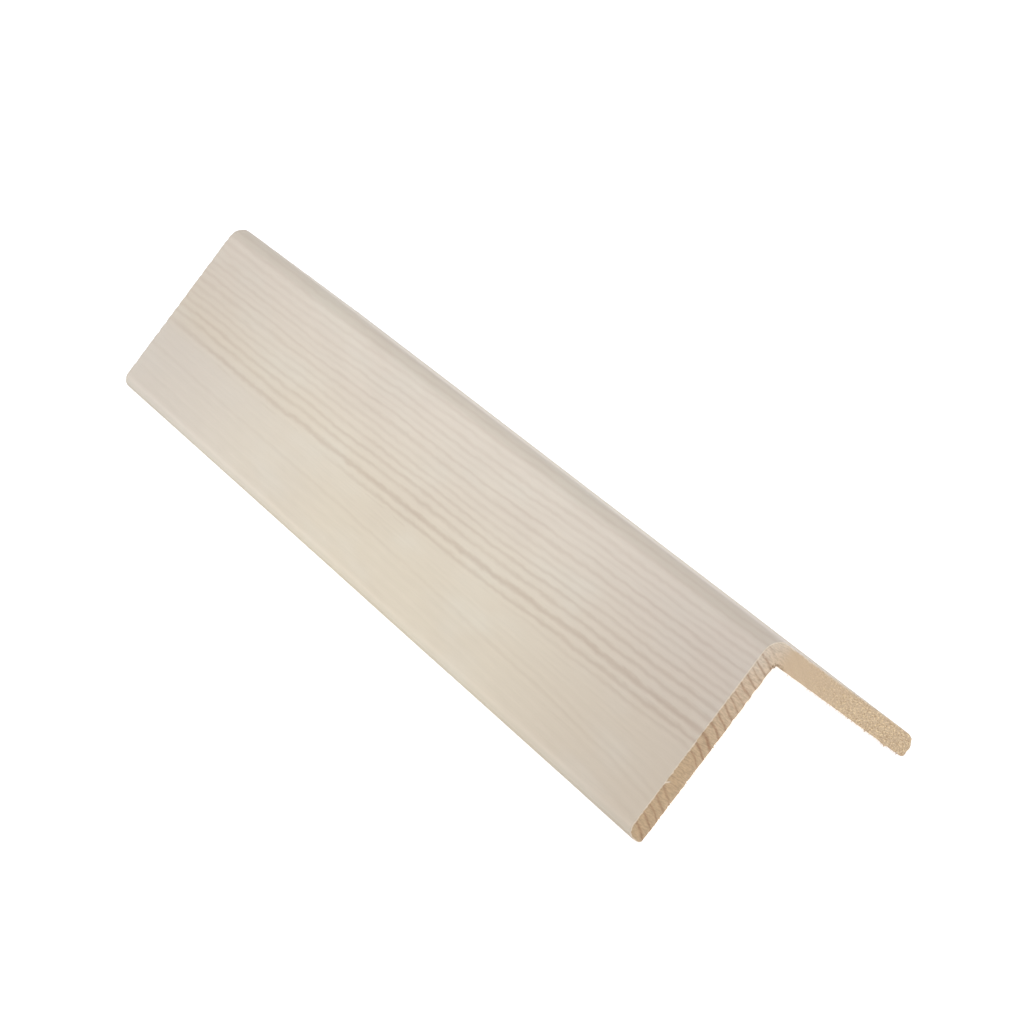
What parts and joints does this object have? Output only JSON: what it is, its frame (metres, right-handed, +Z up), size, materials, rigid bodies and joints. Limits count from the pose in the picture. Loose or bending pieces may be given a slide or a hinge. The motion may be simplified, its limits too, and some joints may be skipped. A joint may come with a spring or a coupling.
{
  "type": "edge trim",
  "caption": "Straight L-section wooden trim with a rounded outer corner and rounded free edges, for covering an outside corner.",
  "frame": {"origin": "on the floor, under the middle of the length of the rounded corner, as the trim stands on the back arrises of its two free edges", "axes": "+X along the length and the grain, +Z up through the rounded corner and along the line that halves the right angle, legs spreading down towards -Y and +Y"},
  "size_m": [0.3, 0.082, 0.044],
  "materials": {
    "pine": "matt, faces white-glazed, ends and back raw"
  },
  "bodies": {
    "root": {"edge_trim": "pine"}
  },
  "joints": []
}
